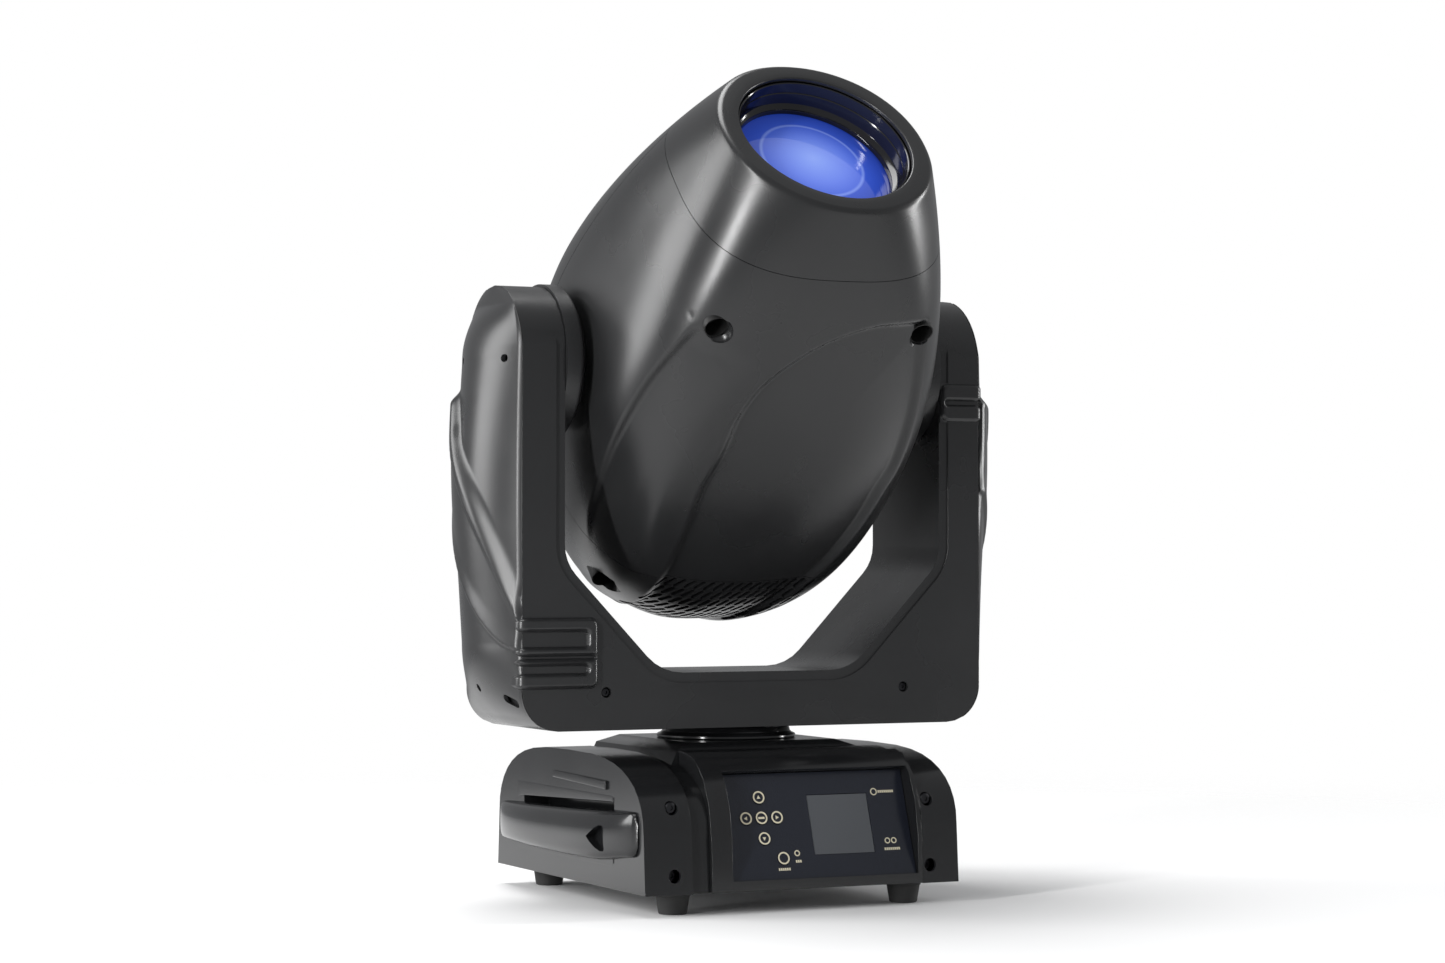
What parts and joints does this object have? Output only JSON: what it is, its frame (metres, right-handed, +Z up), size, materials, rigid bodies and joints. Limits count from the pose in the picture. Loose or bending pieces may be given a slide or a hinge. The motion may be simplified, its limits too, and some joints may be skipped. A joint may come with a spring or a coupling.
{
  "type": "moving head light",
  "caption": "Stage light whose lens head tilts between the arms of a yoke that pans on a base with a menu panel, keys and carry handles.",
  "frame": {"origin": "centre of the rigging plate's underside, on the pan axis; the feet reach 13 mm below it", "axes": "+Z up along the pan axis, -Y towards the front with the menu panel, +X along the tilt axis towards the right arm as seen from the front"},
  "size_m": [0.4566, 0.4355, 0.6546],
  "materials": {
    "housing": "satin black moulded plastic",
    "gloss_black": "glossy black",
    "panel": "smooth dark blue-grey overlay",
    "screen": "clear window over a grey display",
    "keys": "satin, with pale ring marks",
    "steel": "plain steel",
    "aluminium": "milled",
    "black_metal": "black coated",
    "rubber": "matt",
    "lamp_module": "pale metal housing",
    "lens": "blue coated polished glass"
  },
  "bodies": {
    "base": {"end_cap_right": "housing", "end_cap_left": "housing", "handle_right": "housing", "handle_left": "housing", "base_housing": "housing", "front_fascia": "gloss_black", "control_panel": "panel", "display_window": "screen", "base_chassis": "steel", "foot_front_left": "rubber", "foot_front_right": "rubber", "foot_rear_left": "rubber", "foot_rear_right": "rubber", "rear_panel": "steel", "power_inlet": "black_metal", "data_in": "black_metal", "data_out": "black_metal", "network_socket": "black_metal", "power_supply": "aluminium", "rigging_plate": "steel", "pan_collar": "housing", "pan_bearing": "steel", "pan_fixed_pulley": "aluminium"},
    "yoke": {"yoke_frame": "housing", "arm_cover_right": "housing", "arm_cover_left": "housing", "hub_ring_left": "housing", "hub_ring_right": "housing", "tilt_bearing_left": "steel", "tilt_bearing_right": "steel", "pan_motor": "black_metal", "pan_belt": "rubber", "tilt_belt": "rubber", "tilt_motor": "black_metal"},
    "head": {"head_cap": "housing", "head_body": "housing", "head_back_cover": "housing", "rear_cowl": "housing", "lens_barrel": "gloss_black", "front_lens": "lens", "head_frame": "aluminium", "guide_rod_left": "steel", "guide_rod_right": "steel", "tilt_shaft_left": "steel", "tilt_shaft_right": "steel", "light_engine": "lamp_module", "heat_sink": "aluminium"},
    "key_up": {"key_up": "keys"},
    "key_down": {"key_down": "keys"},
    "key_left": {"key_left": "keys"},
    "key_right": {"key_right": "keys"},
    "key_menu": {"key_menu": "keys"},
    "key_battery": {"key_battery": "keys"},
    "pan_pinion": {"pan_pinion": "aluminium"},
    "tilt_pinion": {"tilt_pinion": "aluminium"},
    "cooling_fan": {"cooling_fan": "black_metal"},
    "colour_wheel": {"colour_wheel": "aluminium"},
    "gobo_wheel": {"gobo_wheel": "steel"},
    "focus_carriage": {"focus_carriage": "black_metal"},
    "zoom_carriage": {"zoom_carriage": "black_metal"}
  },
  "joints": [
    {"name": "pan", "type": "hinge", "parent": "base", "child": "yoke", "pos_m": [0, 0, 0.1], "axis": [0, 0, 1], "range_deg": [-270, 270]},
    {"name": "tilt", "type": "hinge", "parent": "yoke", "child": "head", "pos_m": [0, 0, 0.412], "axis": [1, 0, 0], "range_deg": [-181.7, 88.3]},
    {"name": "pan_pinion_turn", "type": "hinge", "parent": "yoke", "child": "pan_pinion", "pos_m": [0.122, 0, 0.137], "axis": [0, 0, 1], "range_deg": [-1350, 1350]},
    {"name": "tilt_pinion_turn", "type": "hinge", "parent": "yoke", "child": "tilt_pinion", "pos_m": [-0.2, 0, 0.287], "axis": [1, 0, 0], "range_deg": [-908.5, 441.5]},
    {"name": "press_up", "type": "slide", "parent": "base", "child": "key_up", "axis": [0, 0.9455, -0.3256], "range_m": [0, 0.0008], "stiffness_N_per_m": 600, "springref_m": -0.0003},
    {"name": "press_down", "type": "slide", "parent": "base", "child": "key_down", "axis": [0, 0.9455, -0.3256], "range_m": [0, 0.0008], "stiffness_N_per_m": 600, "springref_m": -0.0003},
    {"name": "press_left", "type": "slide", "parent": "base", "child": "key_left", "axis": [0, 0.9455, -0.3256], "range_m": [0, 0.0008], "stiffness_N_per_m": 600, "springref_m": -0.0003},
    {"name": "press_right", "type": "slide", "parent": "base", "child": "key_right", "axis": [0, 0.9455, -0.3256], "range_m": [0, 0.0008], "stiffness_N_per_m": 600, "springref_m": -0.0003},
    {"name": "press_menu", "type": "slide", "parent": "base", "child": "key_menu", "axis": [0, 0.9455, -0.3256], "range_m": [0, 0.0008], "stiffness_N_per_m": 600, "springref_m": -0.0003},
    {"name": "press_battery", "type": "slide", "parent": "base", "child": "key_battery", "axis": [0, 0.9455, -0.3256], "range_m": [0, 0.0008], "stiffness_N_per_m": 600, "springref_m": -0.0003},
    {"name": "fan_spin", "type": "hinge", "parent": "head", "child": "cooling_fan", "pos_m": [0, 0.13464, 0.28512], "axis": [0, -0.7278, 0.6858], "continuous": true},
    {"name": "colour_spin", "type": "hinge", "parent": "head", "child": "colour_wheel", "pos_m": [0, 0.00605, 0.35134], "axis": [0, -0.7278, 0.6858], "continuous": true},
    {"name": "gobo_spin", "type": "hinge", "parent": "head", "child": "gobo_wheel", "pos_m": [0, 0.05218, 0.41779], "axis": [0, -0.7278, 0.6858], "continuous": true},
    {"name": "focus_slide", "type": "slide", "parent": "head", "child": "focus_carriage", "axis": [0, -0.7278, 0.6858], "range_m": [-0.035, 0.03]},
    {"name": "zoom_slide", "type": "slide", "parent": "head", "child": "zoom_carriage", "axis": [0, -0.7278, 0.6858], "range_m": [-0.02, 0.05]}
  ],
  "couplings": [
    {"joint": "pan_pinion_turn", "follows": "pan", "ratio": -5},
    {"joint": "tilt_pinion_turn", "follows": "tilt", "ratio": 5}
  ]
}
